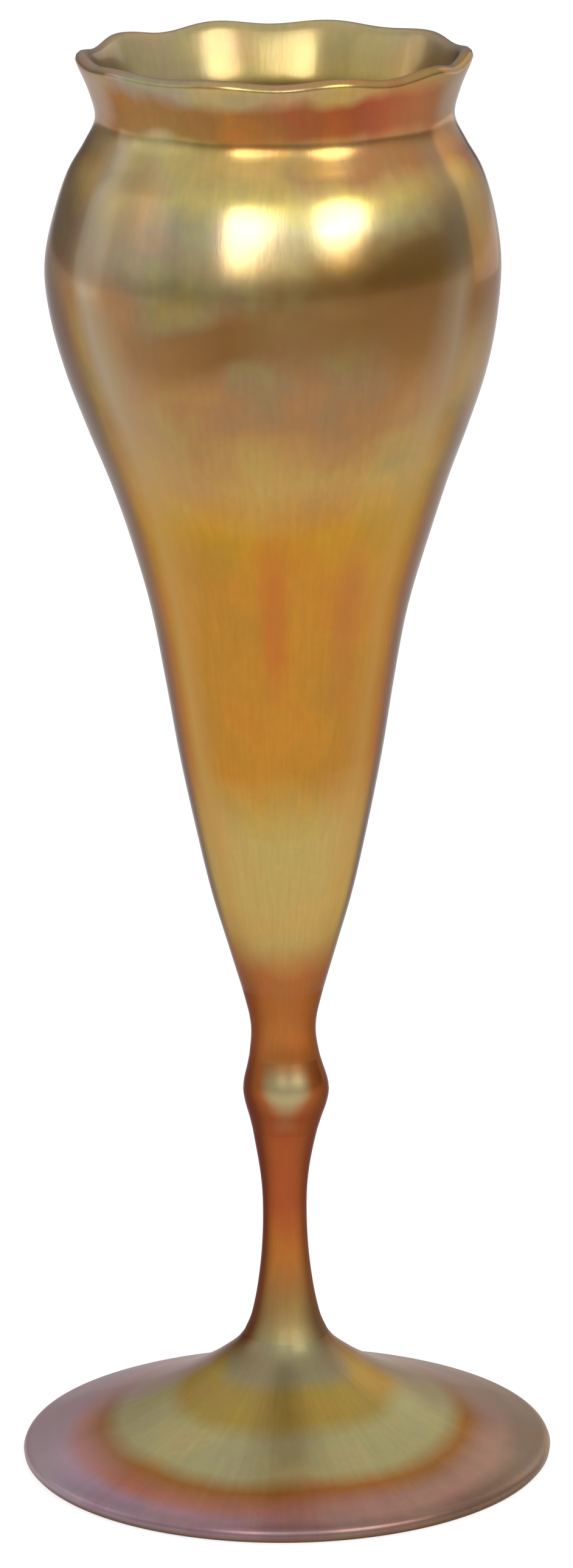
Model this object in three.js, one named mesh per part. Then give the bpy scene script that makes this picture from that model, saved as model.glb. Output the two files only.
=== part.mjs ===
// A floriform vase of lustred gold glass: a tall tulip bowl with a flared lip, on a slim
// knopped stem and a spreading domed foot. It is built from the separate gathers of glass
// that a glassmaker joins hot: bowl, upper stem, knop, lower stem, foot and pontil button.
// Millimetres, +Z up. The origin is on the axis, in the plane that the foot stands on.
import * as THREE from "three";

// Driving dimensions.
const VASE_HEIGHT = 300.5;
const FOOT_RADIUS = 56;
const FOOT_EDGE_ROUND = 1.6;
const FOOT_RING_WIDTH = 2.4; // the flat ring that the vase stands on
const FOOT_HOLLOW_HEIGHT = 12.5; // how far the underside is domed
const LIP_RADIUS = 39.8;
const LIP_ROUND = 1.5; // fire-polished edge
const WALL_AT_NECK = 2.6;
const WALL_AT_SHOULDER = 2.3;
const WALL_AT_CONE = 3.2;
const WALL_AT_BASE = 4.4;
const CAVITY_FLOOR = 113;
const BUTTON_RADIUS = 9;
const BUTTON_THICKNESS = 2.6;

// The rounded bottoms: each point is a share of the radius and a share of the drop.
const CAVITY_ROUNDING = [[0.86, 0.45], [0.52, 0.88]];
const BUTTON_ROUNDING = [[0.7, 0.9], [0.95, 0.5]];

// The hollow under the foot: the radii of its outline's points and how full its dome is.
const FOOT_HOLLOW_RADII = [46, 38, 29, 19];
const FOOT_HOLLOW_FULLNESS = 1.15;

// Stations on the outside, each a radius and a height, from the foot's edge up to the lip.
const FOOT_EDGE_TOP = [FOOT_RADIUS - 0.7, 2 * FOOT_EDGE_ROUND - 0.2];
const FOOT_BORDER = [49, 5.4];
const FOOT_SLOPE = [38, 9.5];
const FOOT_RISE = [24, 15.6];
const FOOT_SHANK = [14.4, 21.4];
const FOOT_JOINT = [8.9, 26.6];
const STEM_TAPER = [5.75, 38];
const STEM_SLIM = [4.7, 58];
const KNOP_JOINT_LOWER = [6.8, 71.8];
const KNOP_WIDEST = [9.0, 80.6];
const KNOP_JOINT_UPPER = [7.4, 88];
const WAIST = [6.8, 94.6];
const BOWL_JOINT = [8.6, 103];
const CONE_LOW = [14.75, 124];
const CONE_MIDDLE = [21.15, 154];
const CONE_HIGH = [26.5, 185];
const FLARE = [34.6, 212.2];
const SHOULDER_LOW = [42.8, 235];
const SHOULDER = [46.2, 257];
const SHOULDER_HIGH = [41.8, 276];
const NECK = [36.2, 287];
const LIP_UNDER = [LIP_RADIUS - 0.25, VASE_HEIGHT - 2.3];

// Every joint dips towards the axis by this much, as one gather beds into the next.
const JOINT_DIP = 2.6;

// Optic ribs, left by the ribbed mould: faint on the body, clearer at the lip. Between two
// ribs the lip dips in a low wave, deeper on one side than on the other as it was hand worked.
const RIB_COUNT = 10;
const RIB_DEPTH_BODY = 0.22;
const RIB_DEPTH_LIP = 0.45;
const RIB_LOWEST = 130;
const LIP_WAVE_HEIGHT = 1.3;
const LIP_WAVE_SHALLOWEST = 0.45; // as a share of the deepest
const LIP_DEEPEST_DEGREES = 144; // there and on the opposite side

const SEGMENTS = 6 * RIB_COUNT;
const STEPS_PER_SPAN = 2;

const amberStem = new THREE.MeshStandardMaterial({
  color: 0x9a5a22,
  roughness: 0.22,
  metalness: 0.6,
});
const goldLustre = new THREE.MeshStandardMaterial({
  color: 0xb88a3c,
  roughness: 0.2,
  metalness: 0.8,
});
const footLustre = new THREE.MeshStandardMaterial({
  color: 0x97804a,
  roughness: 0.25,
  metalness: 0.8,
});

const STATIONS = [
  FOOT_EDGE_TOP, FOOT_BORDER, FOOT_SLOPE, FOOT_RISE, FOOT_SHANK, FOOT_JOINT,
  STEM_TAPER, STEM_SLIM, KNOP_JOINT_LOWER, KNOP_WIDEST, KNOP_JOINT_UPPER, WAIST,
  BOWL_JOINT, CONE_LOW, CONE_MIDDLE, CONE_HIGH, FLARE, SHOULDER_LOW, SHOULDER,
  SHOULDER_HIGH, NECK, LIP_UNDER,
];
const outside = new THREE.CatmullRomCurve3(
  STATIONS.map(([radius, height]) => new THREE.Vector3(radius, height, 0)),
  false,
  "centripetal",
);

// The outside's points from one station up to another, both included.
function outsideBetween(from, to, steps = STEPS_PER_SPAN) {
  const spans = STATIONS.length - 1;
  const first = STATIONS.indexOf(from);
  const count = (STATIONS.indexOf(to) - first) * steps;
  return Array.from({ length: count + 1 }, (_, i) => {
    const point = outside.getPoint((first + i / steps) / spans);
    return new THREE.Vector2(point.x, point.y);
  });
}

// A joint's face as a shallow bowl, from its edge on the outside in to the axis.
function jointFace([radius, height]) {
  const steps = 3;
  return Array.from({ length: steps + 1 }, (_, i) => {
    const share = 1 - i / steps;
    return new THREE.Vector2(radius * share, height - JOINT_DIP * (1 - share * share));
  });
}

// A quarter or more of a circle, from one angle to another, both in degrees.
function arc(centreRadius, centreHeight, round, fromDegrees, toDegrees, steps) {
  return Array.from({ length: steps + 1 }, (_, i) => {
    const angle = THREE.MathUtils.degToRad(
      THREE.MathUtils.lerp(fromDegrees, toDegrees, i / steps),
    );
    return new THREE.Vector2(
      centreRadius + round * Math.cos(angle),
      centreHeight + round * Math.sin(angle),
    );
  });
}

// Turns a closed profile round the axis. The profile runs up the outside first, so that
// the faces point out, and starts and ends on the axis.
function turned(name, profile, material) {
  const clean = profile.filter(
    (point, i) => i === 0 || point.distanceTo(profile[i - 1]) > 1e-3,
  );
  const geometry = new THREE.LatheGeometry(clean, SEGMENTS);
  geometry.rotateX(Math.PI / 2);
  const mesh = new THREE.Mesh(geometry, material);
  mesh.name = name;
  return mesh;
}

// How far the lip dips between two ribs at this azimuth.
function lipWaveHeight(azimuth) {
  const fromDeepest = azimuth - THREE.MathUtils.degToRad(LIP_DEEPEST_DEGREES);
  const share = 0.5 + 0.5 * Math.cos(2 * fromDeepest);
  return LIP_WAVE_HEIGHT * THREE.MathUtils.lerp(LIP_WAVE_SHALLOWEST, 1, share);
}

// Presses the optic ribs into a turned piece and lets the lip dip between them.
function addRibs(mesh) {
  const position = mesh.geometry.getAttribute("position");
  for (let i = 0; i < position.count; i++) {
    const [x, y, z] = [position.getX(i), position.getY(i), position.getZ(i)];
    const azimuth = Math.atan2(y, x);
    const wave = Math.cos(RIB_COUNT * azimuth);
    const onBody = THREE.MathUtils.smoothstep(z, RIB_LOWEST, SHOULDER[1]);
    const atLip = THREE.MathUtils.smoothstep(z, NECK[1], VASE_HEIGHT);
    const depth = RIB_DEPTH_BODY * onBody + (RIB_DEPTH_LIP - RIB_DEPTH_BODY) * atLip;
    const radius = Math.hypot(x, y);
    const share = radius > 0 ? (radius + depth * wave) / radius : 1;
    const dip = lipWaveHeight(azimuth) * atLip * (1 - wave) * 0.5;
    position.setXYZ(i, x * share, y * share, z - dip);
  }
  return mesh;
}

// The cavity's wall from under the lip's round edge down: the outside moved in by the glass's
// thickness.
function bowlInside() {
  const thickness = new THREE.CubicInterpolant(
    [BOWL_JOINT[1], CONE_LOW[1], CONE_HIGH[1], SHOULDER[1], NECK[1], VASE_HEIGHT],
    [WALL_AT_BASE, WALL_AT_BASE, WALL_AT_CONE, WALL_AT_SHOULDER, WALL_AT_NECK, WALL_AT_NECK],
    1,
  );
  const wall = outsideBetween(CONE_LOW, LIP_UNDER);
  const inner = wall.slice(0, -1).map((point, i) => {
    const before = wall[Math.max(i - 1, 0)];
    const after = wall[i + 1];
    const along = after.clone().sub(before).normalize();
    const inward = new THREE.Vector2(-along.y, along.x);
    return point.clone().addScaledVector(inward, thickness.evaluate(point.y)[0]);
  });
  return inner.reverse();
}

function bowl() {
  const inside = bowlInside();
  const lowest = inside[inside.length - 1];
  const floor = [...CAVITY_ROUNDING, [0, 1]].map(
    ([share, drop]) =>
      new THREE.Vector2(lowest.x * share, THREE.MathUtils.lerp(lowest.y, CAVITY_FLOOR, drop)),
  );
  const lip = arc(LIP_RADIUS - LIP_ROUND, VASE_HEIGHT - LIP_ROUND, LIP_ROUND, 0, 165, 5);
  return addRibs(
    turned(
      "bowl",
      [...jointFace(BOWL_JOINT).reverse(), ...outsideBetween(BOWL_JOINT, LIP_UNDER), ...lip,
        ...inside, ...floor],
      goldLustre,
    ),
  );
}

// A solid length of the outside between two joints.
function stemPiece(name, lowerJoint, upperJoint, material) {
  return turned(
    name,
    [
      ...jointFace(lowerJoint).reverse(),
      ...outsideBetween(lowerJoint, upperJoint, 3),
      ...jointFace(upperJoint),
    ],
    material,
  );
}

// The foot's domed underside, from the standing ring in to the axis. The button's rim is
// one of its points, so that the button and the foot share a face.
function footUnderside() {
  const ringInner = FOOT_RADIUS - FOOT_EDGE_ROUND - FOOT_RING_WIDTH;
  const heightAt = (radius) =>
    FOOT_HOLLOW_HEIGHT * (1 - (radius / ringInner) ** 2) ** FOOT_HOLLOW_FULLNESS;
  const radii = [ringInner, ...FOOT_HOLLOW_RADII, BUTTON_RADIUS, BUTTON_RADIUS / 2, 0];
  return radii.map((radius) => new THREE.Vector2(radius, heightAt(radius)));
}

function foot() {
  const under = footUnderside();
  const edge = arc(FOOT_RADIUS - FOOT_EDGE_ROUND, FOOT_EDGE_ROUND, FOOT_EDGE_ROUND, -90, 40, 4);
  return turned(
    "foot",
    [...under.reverse(), ...edge, ...outsideBetween(FOOT_EDGE_TOP, FOOT_JOINT, 3),
      ...jointFace(FOOT_JOINT)],
    footLustre,
  );
}

function pontilButton() {
  const top = footUnderside().filter((point) => point.x <= BUTTON_RADIUS);
  const bottom = top[top.length - 1].y - BUTTON_THICKNESS;
  const side = top[0].y;
  const underside = [[0, 1], ...BUTTON_ROUNDING].map(
    ([share, drop]) =>
      new THREE.Vector2(BUTTON_RADIUS * share, THREE.MathUtils.lerp(side, bottom, drop)),
  );
  return turned("pontil_button", [...underside, ...top], amberStem);
}

const vase = new THREE.Group();
vase.name = "floriform_vase";
vase.add(
  foot(),
  pontilButton(),
  stemPiece("lower_stem", FOOT_JOINT, KNOP_JOINT_LOWER, amberStem),
  stemPiece("knop", KNOP_JOINT_LOWER, KNOP_JOINT_UPPER, amberStem),
  stemPiece("upper_stem", KNOP_JOINT_UPPER, BOWL_JOINT, amberStem),
  bowl(),
);

export default vase;
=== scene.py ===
# A floriform vase of gold lustred glass on a plain pale floor, seen a little from above.
# Each visible piece is a fine mesh turned from the outline of its solid in the frame, with the
# solid's low ribs kept, and has a procedural lustre that changes with height and radius.
import math

import bpy
import numpy as np
from mathutils import Matrix, Vector


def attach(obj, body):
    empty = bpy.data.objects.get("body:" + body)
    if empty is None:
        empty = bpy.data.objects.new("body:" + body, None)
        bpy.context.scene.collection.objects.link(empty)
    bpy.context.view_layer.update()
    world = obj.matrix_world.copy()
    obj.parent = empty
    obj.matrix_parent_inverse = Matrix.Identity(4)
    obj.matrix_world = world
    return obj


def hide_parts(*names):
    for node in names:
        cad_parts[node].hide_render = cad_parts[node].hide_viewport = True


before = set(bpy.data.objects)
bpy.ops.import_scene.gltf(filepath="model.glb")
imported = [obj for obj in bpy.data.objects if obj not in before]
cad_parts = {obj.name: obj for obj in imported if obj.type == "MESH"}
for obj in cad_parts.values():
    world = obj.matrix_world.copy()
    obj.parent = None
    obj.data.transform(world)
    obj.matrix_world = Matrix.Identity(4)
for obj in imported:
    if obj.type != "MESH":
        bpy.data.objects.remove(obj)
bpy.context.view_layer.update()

MILLIMETRE = 0.001

# The fineness of the turned meshes.
TURN_STEPS = 200
OUTLINE_STEP = 1.1 * MILLIMETRE
EDGE_DEGREES = 36  # an outline that turns by more than this at a point has an edge there
CENTRIPETAL = 0.5  # the power of a step's length that is the spline's time over it

# The number of azimuths at which the solids' outlines are turned.
SOLID_STEPS = 60

# A place is on the axis or on the table when it is closer to it than this.
TOUCHING = 0.001 * MILLIMETRE
DECIMALS = 6  # of a metre, by which two points of an outline are told apart

# Hand-worked unevenness of the hot glass. Its waves are the times that they go round, radians
# per metre of height, phase and share. Close to the axis and the table they fade.
SWAY = 0.12 * MILLIMETRE
SWAY_WAVES = [(2, 31, 0.0, 1.0), (3, -47, 1.3, 0.6)]
SWAY_FADE = 30 * MILLIMETRE

# Where the photographed vase is out of line: height, reach up and down, and shift to the right.
BENDS = [
    (80 * MILLIMETRE, 9 * MILLIMETRE, 0.5 * MILLIMETRE),
    (203 * MILLIMETRE, 18 * MILLIMETRE, 0.35 * MILLIMETRE),
    (254 * MILLIMETRE, 16 * MILLIMETRE, -0.75 * MILLIMETRE),
]

# The photograph's size in pixels, and the camera that was found from the vase's outline in it:
# the column and row that it points at, its focal length in pixels, and its place and target in
# metres.
PICTURE_WIDTH = 942
PICTURE_HEIGHT = 2576
SIGHT_COLUMN = 461.6
SIGHT_ROW = 1263.1
FOCAL_PIXELS = 11818
CAMERA_PLACE = Vector((0.0, -1.440, 0.5393))
CAMERA_TARGET = Vector((0.0, 0.0, 0.150))
CAMERA_ROLL_DEGREES = -0.53
SENSOR_MILLIMETRES = 36.0


# Outlines

def outlines_round(node):
    """The node's outline in each half plane that its solid was turned in, as an array of
    azimuth, point, and radius and height in metres. An outline runs from the lower to the
    upper of its two points on the axis."""
    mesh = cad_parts[node].data
    places = np.array([v.co for v in mesh.vertices])
    radii = np.hypot(places[:, 0], places[:, 1])
    steps = np.arctan2(places[:, 1], places[:, 0]) * SOLID_STEPS / (2 * math.pi)
    on_axis = radii < TOUCHING
    plane = np.round(steps).astype(int) % SOLID_STEPS
    pairs = np.stack([radii, places[:, 2]], axis=1).tolist()
    key = [(round(radius, DECIMALS), round(height, DECIMALS)) for radius, height in pairs]
    beside = [{} for _ in range(SOLID_STEPS)]
    for edge in mesh.edges:
        a, b = edge.vertices
        if key[a] == key[b] or not (on_axis[a] or on_axis[b] or plane[a] == plane[b]):
            continue
        links = beside[plane[b] if on_axis[a] else plane[a]]
        links.setdefault(key[a], set()).add(key[b])
        links.setdefault(key[b], set()).add(key[a])
    return np.array([walk_along(node, links) for links in beside])


def walk_along(node, links):
    """The points of one outline in their order, from its linked pairs of points."""
    lower, upper = sorted((k for k in links if k[0] < TOUCHING), key=lambda k: k[1])
    walk = [lower]
    while walk[-1] != upper:
        onward = [k for k in links[walk[-1]] if k not in walk[-2:]]
        if len(onward) != 1:
            raise RuntimeError(f"{node}: the outline branches at {walk[-1]}")
        walk.append(onward[0])
    return walk


def edge_indices(outline):
    """Where the outline has an edge: its ends, its sharp turns and the standing ring's rims."""
    steps = np.diff(outline, axis=0)
    angles = np.arctan2(steps[:, 1], steps[:, 0])
    turns = np.abs((np.diff(angles) + math.pi) % (2 * math.pi) - math.pi)
    sharp = [i + 1 for i, turn in enumerate(turns) if turn > math.radians(EDGE_DEGREES)]
    standing = [i for i, (_, height) in enumerate(outline) if abs(height) < TOUCHING]
    return sorted({0, len(outline) - 1, *sharp, *standing})


def mixed(a, b, from_time, to_time, time):
    """The point on the line through a and b that is reached at this time."""
    return (a * (to_time - time) + b * (time - from_time)) / (to_time - from_time)


def smooth_run(points, counts):
    """The centripetal spline through a run of points, with this many steps between them. Each
    point is a row of outlines' points in step, whose mean sets the spline's pace."""
    ends = np.concatenate([[2 * points[0] - points[1]], points, [2 * points[-1] - points[-2]]])
    made = [points[0]]
    for i, count in enumerate(counts):
        four = ends[i : i + 4]
        lengths = np.linalg.norm(np.diff(four.mean(axis=1), axis=0), axis=1)
        times = np.concatenate([[0], np.cumsum(lengths**CENTRIPETAL)])
        for time in np.linspace(times[1], times[2], count + 1)[1:]:
            once = [mixed(four[k], four[k + 1], times[k], times[k + 1], time) for k in range(3)]
            twice = [mixed(once[k], once[k + 1], times[k], times[k + 2], time) for k in range(2)]
            made.append(mixed(*twice, times[1], times[2], time))
    return made


def fine_outlines(node):
    """The node's outlines at TURN_STEPS azimuths with close points, as an array of point,
    azimuth, and radius and height, and the indices of their edges. Round the axis they follow
    the trigonometric series through the solid's outlines, so the ribs stay as they are."""
    solid = outlines_round(node)
    series = np.fft.rfft(solid, axis=0)
    closer = np.fft.irfft(series, TURN_STEPS, axis=0) * (TURN_STEPS / SOLID_STEPS)
    points = closer.transpose(1, 0, 2)
    mean = points.mean(axis=1)
    edges = edge_indices(mean)
    fine, fine_edges = [points[:1]], [0]
    for start, end in zip(edges, edges[1:]):
        lengths = np.linalg.norm(np.diff(mean[start : end + 1], axis=0), axis=1)
        counts = [max(1, round(length / OUTLINE_STEP)) for length in lengths]
        fine.append(smooth_run(points[start : end + 1], counts)[1:])
        fine_edges.append(fine_edges[-1] + sum(counts))
    return np.concatenate(fine), fine_edges


# Meshes

def sway(radius, height, azimuth):
    """How far the glass wanders from true at a place, as a gatherer's hand leaves it."""
    slow = sum(
        share * math.sin(times * azimuth + climb * height + phase)
        for times, climb, phase, share in SWAY_WAVES
    )
    return SWAY * slow * min(1.0, radius / SWAY_FADE) * min(1.0, height / SWAY_FADE)


def bend(height):
    """How far the vase's middle is out of line at this height."""
    return sum(
        shift * math.exp(-(((height - middle) / reach) ** 2)) for middle, reach, shift in BENDS
    )


def turned_piece(name, node, outer, inner=None):
    """A piece turned from its node's outlines. A second material, where there is one, starts
    at the outline's highest point."""
    rings, edges = fine_outlines(node)
    mean = rings.mean(axis=1)
    is_pole = mean[:, 0] < TOUCHING
    azimuths = 2 * math.pi * np.arange(TURN_STEPS) / TURN_STEPS
    ring_start, vertices = [], []
    for ring, (radius, height), pole in zip(rings, mean, is_pole):
        ring_start.append(len(vertices))
        if pole:
            vertices.append((bend(height), 0.0, height))
            continue
        for azimuth, (r, z) in zip(azimuths, ring):
            r += sway(radius, height, azimuth)
            vertices.append((r * math.cos(azimuth) + bend(z), r * math.sin(azimuth), z))
    top = int(mean[:, 1].argmax())
    faces, indices = [], []
    for i in range(len(mean) - 1):
        a, b = ring_start[i], ring_start[i + 1]
        for k in range(TURN_STEPS):
            following = (k + 1) % TURN_STEPS
            if is_pole[i]:
                faces.append((a, b + following, b + k))
            elif is_pole[i + 1]:
                faces.append((a + k, a + following, b))
            else:
                faces.append((a + k, a + following, b + following, b + k))
            indices.append(1 if inner and i >= top else 0)
    mesh = bpy.data.meshes.new(name)
    mesh.from_pydata(vertices, [], faces)
    mesh.materials.append(outer)
    if inner:
        mesh.materials.append(inner)
    mesh.polygons.foreach_set("material_index", indices)
    mesh.polygons.foreach_set("use_smooth", [True] * len(faces))
    mesh.update()
    mark_edges(mesh, [ring_start[i] for i in edges if not is_pole[i]])
    piece = bpy.data.objects.new(name, mesh)
    bpy.context.scene.collection.objects.link(piece)
    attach(piece, "root")
    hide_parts(node)


def mark_edges(mesh, ring_starts):
    """Makes the rings that start at these vertices sharp, so that shading breaks there."""
    ring_of = {start + k: start for start in ring_starts for k in range(TURN_STEPS)}
    sharp = [
        ring_of.get(edge.vertices[0], -1) == ring_of.get(edge.vertices[1], -2)
        for edge in mesh.edges
    ]
    attribute = mesh.attributes.new("sharp_edge", "BOOLEAN", "EDGE")
    attribute.data.foreach_set("value", sharp)


# Materials

def screen(red, green, blue):
    """A colour as it shows on a screen, 0 to 255, as the linear colour that a shader takes."""
    shares = (red / 255, green / 255, blue / 255)
    return (*(s / 12.92 if s <= 0.04045 else ((s + 0.055) / 1.055) ** 2.4 for s in shares), 1.0)


def grey(level):
    return (level, level, level, 1.0)


# The sockets of a Mix node that take and give colours.
MIX_FIRST = 6
MIX_SECOND = 7
MIX_RESULT = 2


class Nodes:
    """Adds nodes to one material and links them. A value that is a socket is linked."""

    def __init__(self, name):
        self.material = bpy.data.materials.new(name)
        self.material.use_nodes = True
        self.tree = self.material.node_tree
        self.shader = self.tree.nodes["Principled BSDF"]

    def add(self, kind, values=(), **settings):
        node = self.tree.nodes.new("ShaderNode" + kind)
        for key, value in settings.items():
            setattr(node, key, value)
        for key, value in dict(values).items():
            self.put(node.inputs[key], value)
        return node

    def put(self, socket, value):
        if isinstance(value, bpy.types.NodeSocket):
            self.tree.links.new(value, socket)
        else:
            socket.default_value = value

    def math(self, operation, *values):
        return self.add("Math", enumerate(values), operation=operation).outputs[0]

    def noise(self, vector, scale, detail=3.0, roughness=0.5):
        values = {"Vector": vector, "Scale": scale, "Detail": detail, "Roughness": roughness}
        return self.add("TexNoise", values).outputs["Fac"]

    def ramp(self, value, stops):
        """A colour ramp whose stops are (place, colour)."""
        node = self.add("ValToRGB", {"Fac": value})
        elements = node.color_ramp.elements
        while len(elements) < len(stops):
            elements.new(1.0)
        for element, (place, colour) in zip(elements, stops):
            element.position = place
            element.color = colour
        return node.outputs["Color"]

    def levels(self, value, stops):
        """A ramp of grey levels whose stops are (place, level)."""
        return self.ramp(value, [(place, grey(level)) for place, level in stops])

    def mix(self, share, a, b, blend="MIX"):
        node = self.add("Mix", data_type="RGBA", blend_type=blend)
        self.put(node.inputs["Factor"], share)
        self.put(node.inputs[MIX_FIRST], a)
        self.put(node.inputs[MIX_SECOND], b)
        return node.outputs[MIX_RESULT]

    def spread(self, value, low, high, new_low, new_high, way="LINEAR"):
        """Maps a value from one range to another, and holds it at the ends."""
        values = {0: value, 1: low, 2: high, 3: new_low, 4: new_high}
        return self.add("MapRange", values, clamp=True, interpolation_type=way).outputs[0]


# The lustre's colours. Some serve only painted light and shade: UMBER the painted dark
# reflection,
# MAUVE_GREY the painted sheen, CREAM a painted highlight, and DARK_UMBER, GREY_BROWN and
# DARK_AMBER the painted edge shade.
CREAM = screen(222, 208, 152)
PALE_GOLD = screen(218, 192, 112)
GREY_GOLD = screen(160, 146, 120)
DEEP_GOLD = screen(180, 144, 80)
HONEY = screen(178, 138, 70)
OLIVE_GOLD = screen(180, 154, 84)
GREY_GREEN = screen(168, 158, 116)
PALE_OLIVE = screen(186, 168, 116)
OLIVE = screen(150, 126, 82)
DARK_GOLD = screen(164, 138, 72)
AMBER = screen(174, 119, 38)
OCHRE = screen(174, 127, 34)
FAWN = screen(168, 139, 80)
STRAW = screen(168, 152, 110)
PEACH = screen(184, 138, 82)
BRICK = screen(154, 102, 52)
RUST = screen(168, 104, 46)
EMBER = screen(176, 92, 36)
BURNT_RED = screen(154, 70, 32)
DARK_OLIVE = screen(152, 118, 58)
DARK_RUST = screen(156, 82, 42)
BROWN = screen(148, 120, 74)
TAUPE = screen(158, 122, 112)
UMBER = screen(116, 78, 32)
ROSE = screen(172, 108, 94)
VIOLET = screen(158, 124, 142)
SLATE = screen(132, 116, 132)
DUSK = screen(116, 96, 84)
MAUVE_GREY = screen(160, 146, 122)
MAUVE = screen(200, 178, 182)
PALE_BROWN = screen(196, 174, 152)
DULL_GREEN = screen(147, 136, 100)
GREY_BROWN = screen(186, 166, 138)
RIM_BROWN = screen(104, 76, 48)
DARK_UMBER = screen(62, 38, 16)
DARK_AMBER = screen(92, 42, 14)

# The film's interference colours in the order in which it shows them as it thickens.
FILM_COLOURS = [
    (0.00, PALE_GOLD),
    (0.20, screen(214, 132, 74)),
    (0.38, screen(184, 96, 112)),
    (0.55, screen(124, 106, 160)),
    (0.70, screen(98, 150, 140)),
    (0.86, screen(168, 178, 92)),
    (1.00, PALE_GOLD),
]

# How the film's thickness, in turns through these colours, depends on the clouds, on a metre of
# height or radius, and on how far the surface turns from the eye.
FILM_BY_CLOUD = 1.6
FILM_BY_METRE = 7.0
FILM_BY_FACING = 0.7

# Between these heights in millimetres the film's colours come up.
FILM_RISE = (200, 235)

# The metal film's tint where it is seen at a slant.
EDGE_TINT = (0.45, 0.36, 0.34, 1.0)

# The scales of the noises. The one of the drawn lines takes the direction round the glass, as a
# place on a circle of radius 1, and the height in metres times LINES_PER_METRE.
BROAD_SCALE = 30.0
CLOUD_SCALE = 62.0
GRAIN_SCALE = 900.0
LINES_SCALE = 26.0
LINES_PER_METRE = 5.0

# Nearly all of a noise lies between these values. It strays from a half by a fifth at most, so
# DRIFT_PER_NOISE times that is the whole drift.
NOISE_SPAN = (0.3, 0.7)
DRIFT_PER_NOISE = 5

# The closest that a place counts as being to the axis, so that no radius is 0.
LEAST_RADIUS = 0.1 * MILLIMETRE

# A side is -1 at the left, 0 in the middle and 1 at the right. The left's colours pass into the
# right's between these sides, which waver by this much.
LEFT_TO_RIGHT = (-0.75, 0.45)
SIDES_WAVER = 0.25

# A facing is 0 where the surface faces the eye and 1 where it is seen on edge. At these facings
# the zones' borders move by these shares of the slant, first outward and then inward.
SLANT_FACINGS = (0.38, 1.0)
SLANT_SHARES = (-0.12, 0.5)

# The painted dark reflection, a band of painted shade that stands in for the dark room mirrored
# under the shoulder: its height on the axis and how far it rises from there to the right. Its
# reach up and down widens between two sides, and the clouds fray its edge.
DARK_REFLECTION_HEIGHT = 251.5 * MILLIMETRE
DARK_REFLECTION_RISE = 10 * MILLIMETRE
DARK_REFLECTION_SIDES = (-0.2, 0.75)
DARK_REFLECTION_REACHES = (10 * MILLIMETRE, 28 * MILLIMETRE)
DARK_REFLECTION_CORE = 0.25  # the share of its reach where the painted shade is densest
DARK_REFLECTION_FRAY = (-2 * MILLIMETRE, 3 * MILLIMETRE)
DARK_REFLECTION_CLOUDS = (0.35, 0.65)

# How dense the painted dark reflection is from side to side.
DARK_REFLECTION_ACROSS = [
    (-0.8, 0.0), (-0.5, 0.5), (-0.22, 0.95), (0.05, 0.65), (0.4, 0.9), (0.8, 0.85), (1.0, 0.6),
]

# A streak's strength in its middle, the difference in side over which it fades, and the
# millimetres over which it fades at its ends.
STREAK_SHARE = 0.6
STREAK_SIDES = (0.02, 0.16)
STREAK_FADE = 12

# The painted sheen's level by facing, a painted reflection of the pale room.
PAINTED_SHEEN_LEVELS = [(0.28, 0.0), (0.45, 1.0), (0.60, 0.0)]

# The facings between which painted edge shade comes in, where the glass turns from the eye: dark
# painted shade, and on the foot a pale painted reflection.
BOWL_EDGE_SHADING = (0.58, 0.84)
INSIDE_EDGE_SHADING = (0.35, 0.85)
FOOT_EDGE_SHEEN = (0.60, 0.84)
ROD_EDGE_SHADING = (0.06, 0.50)

# How strong a rod's painted edge shade is at the left and at the right.
ROD_EDGE_SHADE_STRENGTHS = (0.92, 0.66)

# The surface faces down where the upward part of its direction is under these, and is inside
# the foot's rounded edge where its radius in millimetres is under these.
DOWNWARD = (-0.30, -0.05)
INSIDE_EDGE = (53.5, 54.5)


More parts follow.
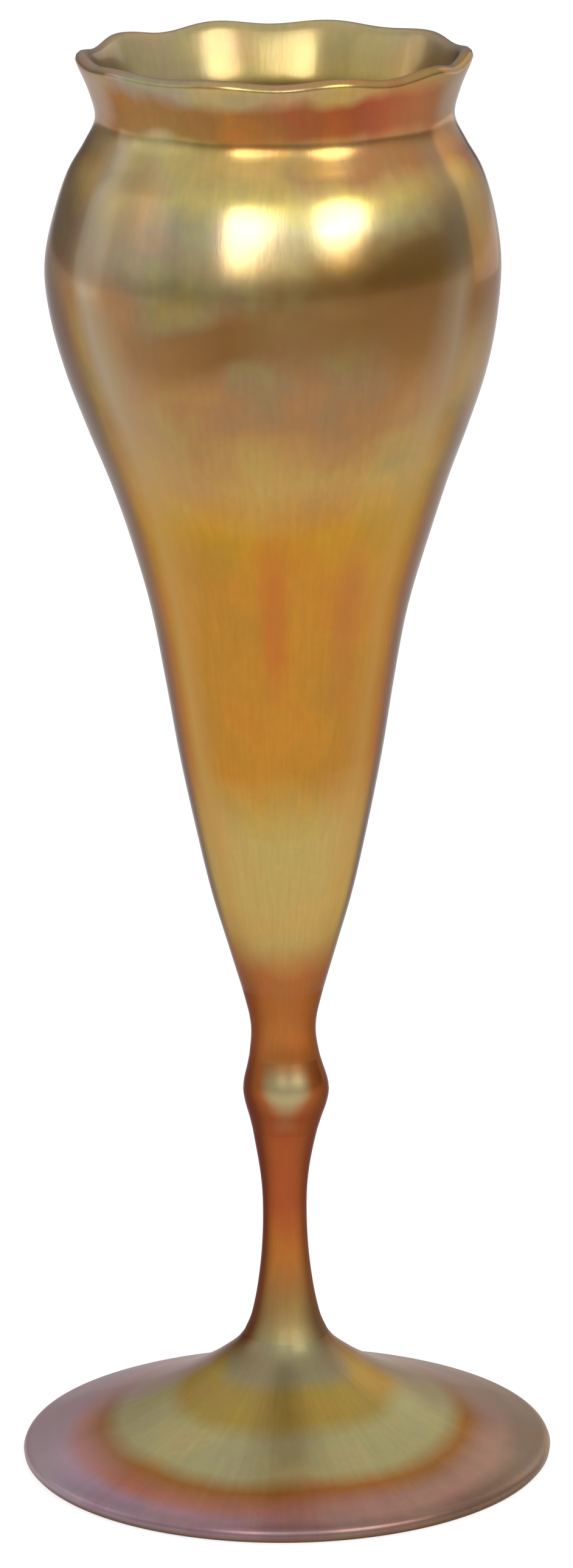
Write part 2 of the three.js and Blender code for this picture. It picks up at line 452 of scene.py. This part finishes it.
class Lustre(Nodes):
    """Lustred glass. zones are (height or radius in millimetres, colour on the left, colour on
    the right). drift is how far their borders wander, and slant sets how far they move where
    the film is seen at a slant, both in millimetres. film is the share of the interference
    colours, under and above FILM_RISE."""

    def __init__(self, name, zones, measured="height", drift=4.0, slant=0.0, film=(0.2, 0.2),
                 roughness=0.24):
        super().__init__(name)
        place = self.add("TexCoord").outputs["Object"]
        x, y, self.height = self.add("SeparateXYZ", {0: place}).outputs[:3]
        squares = self.math("ADD", self.math("MULTIPLY", x, x), self.math("MULTIPLY", y, y))
        self.radius = self.math("MAXIMUM", self.math("SQRT", squares), LEAST_RADIUS)
        self.side = self.math("DIVIDE", x, self.radius)
        self.facing = self.add("LayerWeight", {"Blend": 0.5}).outputs["Facing"]
        self.measure = self.height if measured == "height" else self.radius
        around = {"X": self.side, "Y": self.math("DIVIDE", y, self.radius)}
        along = self.math("MULTIPLY", self.height, LINES_PER_METRE)
        drawn = self.add("CombineXYZ", {**around, "Z": along}).outputs[0]

        self.broad = self.noise(place, BROAD_SCALE, 3.0, 0.6)
        self.cloudy = self.noise(place, CLOUD_SCALE, 3.0)
        lines = self.noise(drawn, LINES_SCALE, 4.0, 0.6)
        grain = self.noise(place, GRAIN_SCALE, 2.0)

        colour = self.filmed(self.zoned(zones, drift, slant), film)
        tone = self.math(
            "MULTIPLY",
            self.spread(lines, *NOISE_SPAN, 0.95, 1.05),
            self.spread(grain, *NOISE_SPAN, 0.98, 1.02),
        )
        tone = self.add("CombineXYZ", {0: tone, 1: tone, 2: tone}).outputs[0]
        self.colour = self.mix(1.0, colour, tone, "MULTIPLY")

        self.rough = self.spread(self.cloudy, *NOISE_SPAN, roughness - 0.03, roughness + 0.03)
        self.shader.inputs["Metallic"].default_value = 0.9
        self.shader.inputs["Specular Tint"].default_value = EDGE_TINT
        self.shader.inputs["Coat Weight"].default_value = 0.22
        self.shader.inputs["Coat Roughness"].default_value = 0.06
        bump = self.add("Bump", {"Height": lines, "Strength": 0.05, "Distance": 0.4 * MILLIMETRE})
        self.put(self.shader.inputs["Normal"], bump.outputs[0])

    def zoned(self, zones, drift, slant):
        """The colours of the zones, with their borders moved."""
        reach = DRIFT_PER_NOISE * drift * MILLIMETRE
        wander = self.math("MULTIPLY", self.math("SUBTRACT", self.broad, 0.5), reach)
        shifts = [share * slant * MILLIMETRE for share in SLANT_SHARES]
        wander = self.math("ADD", wander, self.spread(self.facing, *SLANT_FACINGS, *shifts))
        low, high = zones[0][0], zones[-1][0]
        share = self.between(self.math("ADD", self.measure, wander), (low, high), 0.0, 1.0)
        left, right = (
            self.ramp(share, [((zone[0] - low) / (high - low), zone[k]) for zone in zones])
            for k in (1, 2)
        )
        waver = self.spread(self.broad, *NOISE_SPAN, -SIDES_WAVER, SIDES_WAVER)
        rightward = self.spread(self.math("ADD", self.side, waver), *LEFT_TO_RIGHT, 0.0, 1.0)
        return self.mix(rightward, left, right)

    def filmed(self, colour, film):
        """A colour with the film's interference colours over it."""
        clouded = self.math("MULTIPLY", self.cloudy, FILM_BY_CLOUD)
        thickness = self.math("ADD", clouded, self.math("MULTIPLY", self.measure, FILM_BY_METRE))
        thinner = self.math("MULTIPLY", self.facing, FILM_BY_FACING)
        phase = self.math("FRACT", self.math("SUBTRACT", thickness, thinner))
        share = self.between(self.height, FILM_RISE, *film)
        return self.mix(share, colour, self.ramp(phase, FILM_COLOURS), "SOFT_LIGHT")

    def between(self, measure, places, start, end, way="LINEAR"):
        """Passes from one value to another between two places in millimetres."""
        low, high = (place * MILLIMETRE for place in places)
        return self.spread(measure, low, high, start, end, way)

    def satin(self, share, rise):
        """A duller skin, by this rise in roughness where the share is 1."""
        self.rough = self.math("ADD", self.rough, self.math("MULTIPLY", share, rise))

    def streak(self, side, low, high, colour):
        """A soft upright streak at this side and between these heights in millimetres."""
        away = self.math("ABSOLUTE", self.math("SUBTRACT", self.side, side))
        share = self.spread(away, *STREAK_SIDES, STREAK_SHARE, 0.0, "SMOOTHSTEP")
        at_foot = self.between(self.height, (low, low + STREAK_FADE), 0.0, 1.0)
        at_head = self.between(self.height, (high - STREAK_FADE, high), 1.0, 0.0)
        share = self.math("MULTIPLY", self.math("MULTIPLY", share, at_foot), at_head)
        self.colour = self.mix(share, self.colour, colour)

    def painted_dark_reflection(self):
        """Painted shade in a band under the shoulder's widest part, rising from left to right."""
        middle = self.math("ADD", self.math("MULTIPLY", self.side, DARK_REFLECTION_RISE), DARK_REFLECTION_HEIGHT)
        away = self.math("ABSOLUTE", self.math("SUBTRACT", self.height, middle))
        away = self.math("ADD", away, self.spread(self.cloudy, *DARK_REFLECTION_CLOUDS, *DARK_REFLECTION_FRAY))
        away = self.math("DIVIDE", away, self.spread(self.side, *DARK_REFLECTION_SIDES, *DARK_REFLECTION_REACHES))
        share = self.spread(away, DARK_REFLECTION_CORE, 1.0, 1.0, 0.0, "SMOOTHSTEP")
        across = self.spread(self.side, -1.0, 1.0, 0.0, 1.0)
        density = self.levels(across, [((side + 1) / 2, level) for side, level in DARK_REFLECTION_ACROSS])
        share = self.math("MULTIPLY", share, density)
        self.colour = self.mix(share, self.colour, UMBER)

    def painted_sheen(self, strength, colour):
        """Painted reflection between the middle and edge of what the eye sees of the round form.
        """
        share = self.math("MULTIPLY", self.levels(self.facing, PAINTED_SHEEN_LEVELS), strength)
        self.colour = self.mix(share, self.colour, colour)

    def painted_edge_shading(self, facings, strength, colour):
        """Painted shade or reflection in this colour, where the glass turns away from the eye."""
        share = self.spread(self.facing, *facings, 0.0, 1.0, "SMOOTHSTEP")
        self.colour = self.mix(self.math("MULTIPLY", share, strength), self.colour, colour)

    def underneath(self, strength, colour):
        """A plainer lustre where the surface faces down, inside the foot's rounded edge."""
        normal = self.add("NewGeometry").outputs["Normal"]
        upward = self.add("SeparateXYZ", {0: normal}).outputs[2]
        share = self.spread(upward, *DOWNWARD, strength, 0.0)
        share = self.math("MULTIPLY", share, self.between(self.radius, INSIDE_EDGE, 1.0, 0.0))
        self.colour = self.mix(share, self.colour, colour)

    def made(self):
        """The material, with its colour and roughness linked."""
        self.put(self.shader.inputs["Base Color"], self.colour)
        self.put(self.shader.inputs["Roughness"], self.rough)
        return self.material


def rod_edge_shade(glass, near):
    """Painted dark edges of a solid rod of amber glass, as far as near goes, darker on the left.
    """
    strength = glass.spread(glass.side, -1.0, 1.0, *ROD_EDGE_SHADE_STRENGTHS)
    glass.painted_edge_shading(ROD_EDGE_SHADING, glass.math("MULTIPLY", near, strength), DARK_AMBER)


# Heights in millimetres between which the bowl's look changes.
TIP = (103, 124)  # from the solid tip to the hollow cone
BODY = (208, 240)  # from the cone to the body
LIP = (281, 287)  # from the neck to the flared lip
PAINTED_SHEEN_END = (284, 288)  # over which the painted sheen ends, short of the lip's edge

# The streaks on the bowl: the side, the heights in millimetres and the colour.
STREAKS = [
    (-0.04, 168, 208, EMBER),
    (0.5, 168, 208, RUST),
    # The two upper streaks are painted: shade on the shoulder's left and a pale reflection at the
    # right edge.
    (-0.72, 258, 292, OLIVE),
    (0.92, 226, 258, PALE_OLIVE),
]

# How strong the bowl's painted edge shade is on the left and the right, by height in
# millimetres. The heights lie between the two heights on the next line.
EDGE_SHADE_HEIGHTS = (100, 300)
LEFT_EDGE_SHADE = [(150, 1.0), (190, 0.7), (240, 0.85), (250, 1.0), (266, 0.5), (274, 0.1), (284, 0.85)]
RIGHT_EDGE_SHADE = [(145, 1.0), (170, 0.75), (222, 0.5), (232, 0.0), (256, 0.2), (272, 0.5), (284, 0.9)]


def bowl_outside():
    zones = [
        (103, RUST, RUST),
        (109, RUST, RUST),
        (118, OLIVE_GOLD, OLIVE_GOLD),
        (138, OLIVE_GOLD, OLIVE_GOLD),
        (156, AMBER, AMBER),
        (196, AMBER, AMBER),
        (206, OCHRE, OCHRE),
        (218, FAWN, FAWN),
        (230, OLIVE, BROWN),
        (256, OLIVE, BROWN),
        (264, GREY_GOLD, PALE_GOLD),
        # The cream on the right at 271 millimetres is a painted highlight, where the lamps are
        # mirrored.
        (271, GREY_GOLD, CREAM),
        (276, PALE_OLIVE, PALE_GOLD),
        (281, PALE_OLIVE, PEACH),
        (285, PALE_OLIVE, PEACH),
        # The band from 288 to 294 millimetres is partly the glass's colour and partly painted
        # shade under the lip.
        (288, DARK_OLIVE, BURNT_RED),
        (294, DARK_OLIVE, BURNT_RED),
        (297, GREY_GOLD, DEEP_GOLD),
        (300, GREY_GOLD, DEEP_GOLD),
    ]
    glass = Lustre("bowl_outside_lustre", zones, film=(0.2, 0.38))
    tip = glass.between(glass.height, TIP, 1.0, 0.0)
    past_tip = glass.spread(tip, 0.0, 1.0, 1.0, 0.0)
    at_lip = glass.between(glass.height, LIP, 0.0, 1.0)
    for streak in STREAKS:
        glass.streak(*streak)
    # Painted shade where the dark room would be mirrored under the shoulder.
    glass.painted_dark_reflection()

    # Painted sheen, stronger on the left than on the right, honey on the cone and mauve grey
    # above.
    strength = glass.spread(glass.side, -0.5, 0.5, 0.85, 0.5)
    strength = glass.math("MULTIPLY", strength, glass.between(glass.height, PAINTED_SHEEN_END, 1.0, 0.0))
    on_body = glass.between(glass.height, BODY, 0.0, 1.0)
    painted_sheen_colour = glass.mix(on_body, HONEY, MAUVE_GREY)
    glass.painted_sheen(glass.math("MULTIPLY", strength, past_tip), painted_sheen_colour)

    # Painted edge shade, dark umber on the body and grey brown at the lip, by side and height.
    low, high = EDGE_SHADE_HEIGHTS
    height = glass.between(glass.height, EDGE_SHADE_HEIGHTS, 0.0, 1.0)
    rims = [
        glass.levels(height, [((place - low) / (high - low), level) for place, level in side])
        for side in (LEFT_EDGE_SHADE, RIGHT_EDGE_SHADE)
    ]
    on_right = glass.spread(glass.side, -0.2, 0.2, 0.0, 1.0)
    strength = glass.math("MULTIPLY", glass.mix(on_right, *rims), past_tip)
    glass.painted_edge_shading(BOWL_EDGE_SHADING, strength, glass.mix(at_lip, DARK_UMBER, GREY_BROWN))

    lip_at_right = glass.math("MULTIPLY", at_lip, glass.spread(glass.side, 0.4, 0.9, 0.0, 0.6))
    glass.colour = glass.mix(lip_at_right, glass.colour, BROWN)
    rod_edge_shade(glass, glass.math("MULTIPLY", tip, 0.75))
    glass.satin(tip, 0.07)
    return glass.made()


def bowl_inside():
    zones = [
        (110, RUST, RUST),
        (250, AMBER, AMBER),
        (282, AMBER, AMBER),
        (289, STRAW, OLIVE_GOLD),
        (300, STRAW, STRAW),
    ]
    glass = Lustre("bowl_inside_lustre", zones, drift=1.5)
    glass.shader.inputs["Metallic"].default_value = 0.6
    # Painted shade at the sides of the inner wall.
    glass.painted_edge_shading(INSIDE_EDGE_SHADING, 0.6, DARK_UMBER)
    return glass.made()


# Heights on the stem in millimetres.
KNOP_MIDDLE = 80.6
KNOP_REACH = (3, 9)  # how far up and down from the knop's middle its pale light fades
STEM_BASE = (30, 42)  # from the duller base to the slim rod
WAIST = (84, 92)  # from the knop to the waist, whose painted edge shade is lighter


def stem():
    zones = [
        (10, AMBER, AMBER),
        (20, AMBER, AMBER),
        (26, DULL_GREEN, DULL_GREEN),
        (34, BROWN, BROWN),
        (44, RUST, RUST),
        (56, DARK_RUST, DARK_RUST),
        (72, DARK_RUST, DARK_RUST),
        (90, RUST, RUST),
        (103, RUST, RUST),
    ]
    glass = Lustre("stem_lustre", zones, drift=0.8, roughness=0.31)
    glass.shader.inputs["Coat Weight"].default_value = 0.08
    glass.satin(glass.between(glass.height, STEM_BASE, 1.0, 0.0), 0.22)
    # A painted highlight: grey green in the knop's middle, where it faces the eye.
    from_knop = glass.math("SUBTRACT", glass.height, KNOP_MIDDLE * MILLIMETRE)
    from_knop = glass.math("ABSOLUTE", from_knop)
    knop = glass.between(from_knop, KNOP_REACH, 1.0, 0.0, "SMOOTHSTEP")
    middle = glass.spread(glass.facing, 0.03, 0.26, 0.85, 0.0, "SMOOTHSTEP")
    glass.colour = glass.mix(glass.math("MULTIPLY", knop, middle), glass.colour, GREY_GREEN)
    rod_edge_shade(glass, glass.between(glass.height, WAIST, 1.0, 0.75))
    return glass.made()


# Radii and heights on the foot in millimetres.
OUTER_RINGS = (38, 50)  # over which the paler sides come in
EDGE_LINE_RADII = (54.3, 55.0)  # over which a dark line comes in, low on the rounded edge
EDGE_LINE_HEIGHTS = (0.6, 1.8)  # over which that line fades
STEM_START = (20, 26.6)  # from the foot to the rod of the stem


def foot():
    zones = [
        (4, DULL_GREEN, DULL_GREEN),
        (12, DULL_GREEN, DULL_GREEN),
        (16, DARK_GOLD, DARK_GOLD),
        (23, DARK_GOLD, DARK_GOLD),
        (28, GREY_GREEN, GREY_GREEN),
        (37, GREY_GREEN, GREY_GREEN),
        (42, BRICK, BRICK),
        (47, ROSE, TAUPE),
        (50, VIOLET, TAUPE),
        (54, SLATE, DUSK),
    ]
    glass = Lustre("foot_lustre", zones, "radius", drift=1.3, slant=20.0, roughness=0.36)
    glass.shader.inputs["Coat Weight"].default_value = 0.05
    glass.underneath(0.8, HONEY)
    pale = glass.mix(glass.spread(glass.side, -0.3, 0.3, 0.0, 1.0), MAUVE, PALE_BROWN)
    at_left = glass.spread(glass.side, -0.96, -0.72, 0.5, 0.0)
    at_right = glass.spread(glass.side, 0.72, 0.96, 0.0, 0.2)
    outside = glass.between(glass.radius, OUTER_RINGS, 0.0, 1.0)
    aside = glass.math("MULTIPLY", glass.math("ADD", at_left, at_right), outside)
    glass.colour = glass.mix(aside, glass.colour, pale)
    # Painted pale reflection where the foot turns from the eye, mauve on the left, pale brown on
    # the right.
    glass.painted_edge_shading(FOOT_EDGE_SHEEN, 0.68, pale)
    low_down = glass.between(glass.height, EDGE_LINE_HEIGHTS, 1.0, 0.0)
    at_edge = glass.between(glass.radius, EDGE_LINE_RADII, 0.0, 0.8)
    glass.colour = glass.mix(glass.math("MULTIPLY", at_edge, low_down), glass.colour, RIM_BROWN)
    rod_edge_shade(glass, glass.between(glass.height, STEM_START, 0.0, 1.0))
    return glass.made()


# Pieces

stem_lustre = stem()
turned_piece("bowl_of_glass", "bowl", bowl_outside(), bowl_inside())
turned_piece("waist_of_stem", "upper_stem", stem_lustre)
turned_piece("knop_of_stem", "knop", stem_lustre)
turned_piece("slim_stem", "lower_stem", stem_lustre)
turned_piece("spreading_foot", "foot", foot())
turned_piece("pontil_pad", "pontil_button", stem_lustre)


# Floor, light and camera

FLOOR_SIDE = 120.0  # metres
FLOOR_DROP = 0.05 * MILLIMETRE  # keeps the floor clear of the standing ring

# The floor's greys where its light only falls on other things and where it is looked at, and
# its glow close to the vase and far away. The glow passes from one to the other between two
# distances from the vase in metres.
FLOOR_GREY = 0.78
SEEN_FLOOR_GREY = 0.30
FLOOR_GLOW = 0.78
FAR_GLOW = 0.1
POOL_REACH = (2.1, 3.6)


def pale_floor():
    """A white floor. Where it is looked at, straight, mirrored or through glass, it glows enough
    to be white, and the rest of its light is received, so that it keeps the vase's shadow. The
    glow is a pool about the vase that fades into the room."""
    mesh = bpy.data.meshes.new("floor")
    reach = FLOOR_SIDE / 2
    corners = [(-reach, -reach, 0), (reach, -reach, 0), (reach, reach, 0), (-reach, reach, 0)]
    mesh.from_pydata(corners, [], [(0, 1, 2, 3)])
    floor = bpy.data.objects.new("floor", mesh)
    floor.location.z = -FLOOR_DROP
    bpy.context.scene.collection.objects.link(floor)
    nodes = Nodes("floor_white")
    path = nodes.add("LightPath").outputs
    seen = nodes.math("MAXIMUM", path["Is Camera Ray"], path["Is Glossy Ray"])
    seen = nodes.math("MAXIMUM", seen, path["Is Transmission Ray"])
    plain = nodes.add("BsdfDiffuse", {"Color": grey(FLOOR_GREY)}).outputs[0]
    received = nodes.add("BsdfDiffuse", {"Color": grey(SEEN_FLOOR_GREY)}).outputs[0]
    place = nodes.add("TexCoord").outputs["Object"]
    away = nodes.add("VectorMath", {0: place}, operation="LENGTH").outputs["Value"]
    strength = nodes.spread(away, *POOL_REACH, FLOOR_GLOW, FAR_GLOW, "SMOOTHSTEP")
    glow = nodes.add("Emission", {"Color": grey(1.0), "Strength": strength}).outputs[0]
    looked_at = nodes.add("AddShader", {0: received, 1: glow}).outputs[0]
    both = nodes.add("MixShader", {0: seen, 1: plain, 2: looked_at}).outputs[0]
    nodes.put(nodes.tree.nodes["Material Output"].inputs["Surface"], both)
    mesh.materials.append(nodes.material)


# The lamps face the middle of the bowl's shoulder. Each has an azimuth and an elevation in
# degrees, a width and a height in metres, and a radiance. Azimuth 0 is the camera's side, and
# a positive one is to its right.
SHOULDER_CENTRE = Vector((0, 0, 0.27))
LAMP_DISTANCE = 1.3
LAMPS = {
    "left_softbox": (-12, 24, 0.50, 0.60, 4.6),
    "right_softbox": (37, 25, 0.92, 0.66, 4.4),
    "left_fill": (-82, 12, 0.80, 0.90, 0.42),
    "left_strip": (-106, 4, 0.80, 1.30, 0.5),
    "right_strip": (141, 4, 0.84, 1.30, 0.84),
}


def softbox(name, azimuth_degrees, elevation_degrees, width, height, radiance):
    """An oval lamp at LAMP_DISTANCE from the bowl's shoulder."""
    azimuth, elevation = math.radians(azimuth_degrees), math.radians(elevation_degrees)
    outward = Vector((
        math.sin(azimuth) * math.cos(elevation),
        -math.cos(azimuth) * math.cos(elevation),
        math.sin(elevation),
    ))
    lamp = bpy.data.lights.new(name, "AREA")
    lamp.shape = "ELLIPSE"
    lamp.size = width
    lamp.size_y = height
    lamp.energy = radiance * math.pi * (math.pi / 4 * width * height)
    holder = bpy.data.objects.new(name, lamp)
    holder.location = SHOULDER_CENTRE + outward * LAMP_DISTANCE
    holder.rotation_euler = outward.to_track_quat("Z", "Y").to_euler()
    bpy.context.scene.collection.objects.link(holder)


# The room's level by the height of the direction, from the horizon to overhead.
ROOM_LEVELS = [(0.001, 0.30), (0.10, 0.38), (0.24, 0.64), (0.50, 0.84), (0.999, 0.92)]


def studio_world():
    """A grey room, dark about the horizon and light overhead."""
    world = bpy.data.worlds.new("studio")
    world.use_nodes = True
    tree = world.node_tree
    place = tree.nodes.new("ShaderNodeTexCoord")
    split = tree.nodes.new("ShaderNodeSeparateXYZ")
    ramp = tree.nodes.new("ShaderNodeValToRGB")
    tree.links.new(place.outputs["Generated"], split.inputs[0])
    tree.links.new(split.outputs["Z"], ramp.inputs["Fac"])
    tree.links.new(ramp.outputs["Color"], tree.nodes["Background"].inputs["Color"])
    for position, level in ROOM_LEVELS:
        element = ramp.color_ramp.elements.new(position)
        element.color = grey(level)
    for end in (0, -1):
        ramp.color_ramp.elements.remove(ramp.color_ramp.elements[end])
    bpy.context.scene.world = world


def camera():
    """The photograph's viewpoint."""
    data = bpy.data.cameras.new("camera")
    data.sensor_width = SENSOR_MILLIMETRES
    data.lens = FOCAL_PIXELS * SENSOR_MILLIMETRES / PICTURE_HEIGHT
    data.shift_x = (PICTURE_WIDTH / 2 - SIGHT_COLUMN) / PICTURE_HEIGHT
    data.shift_y = (SIGHT_ROW - PICTURE_HEIGHT / 2) / PICTURE_HEIGHT
    data.clip_start = 0.01
    data.clip_end = 200.0
    holder = bpy.data.objects.new("camera", data)
    aim = (CAMERA_TARGET - CAMERA_PLACE).to_track_quat("-Z", "Y").to_matrix().to_4x4()
    roll = Matrix.Rotation(math.radians(CAMERA_ROLL_DEGREES), 4, "Z")
    holder.matrix_world = Matrix.Translation(CAMERA_PLACE) @ aim @ roll
    bpy.context.scene.collection.objects.link(holder)
    bpy.context.scene.camera = holder


pale_floor()
for lamp_name, lamp_settings in LAMPS.items():
    softbox(lamp_name, *lamp_settings)
studio_world()
camera()
bpy.context.scene.view_settings.view_transform = "Standard"
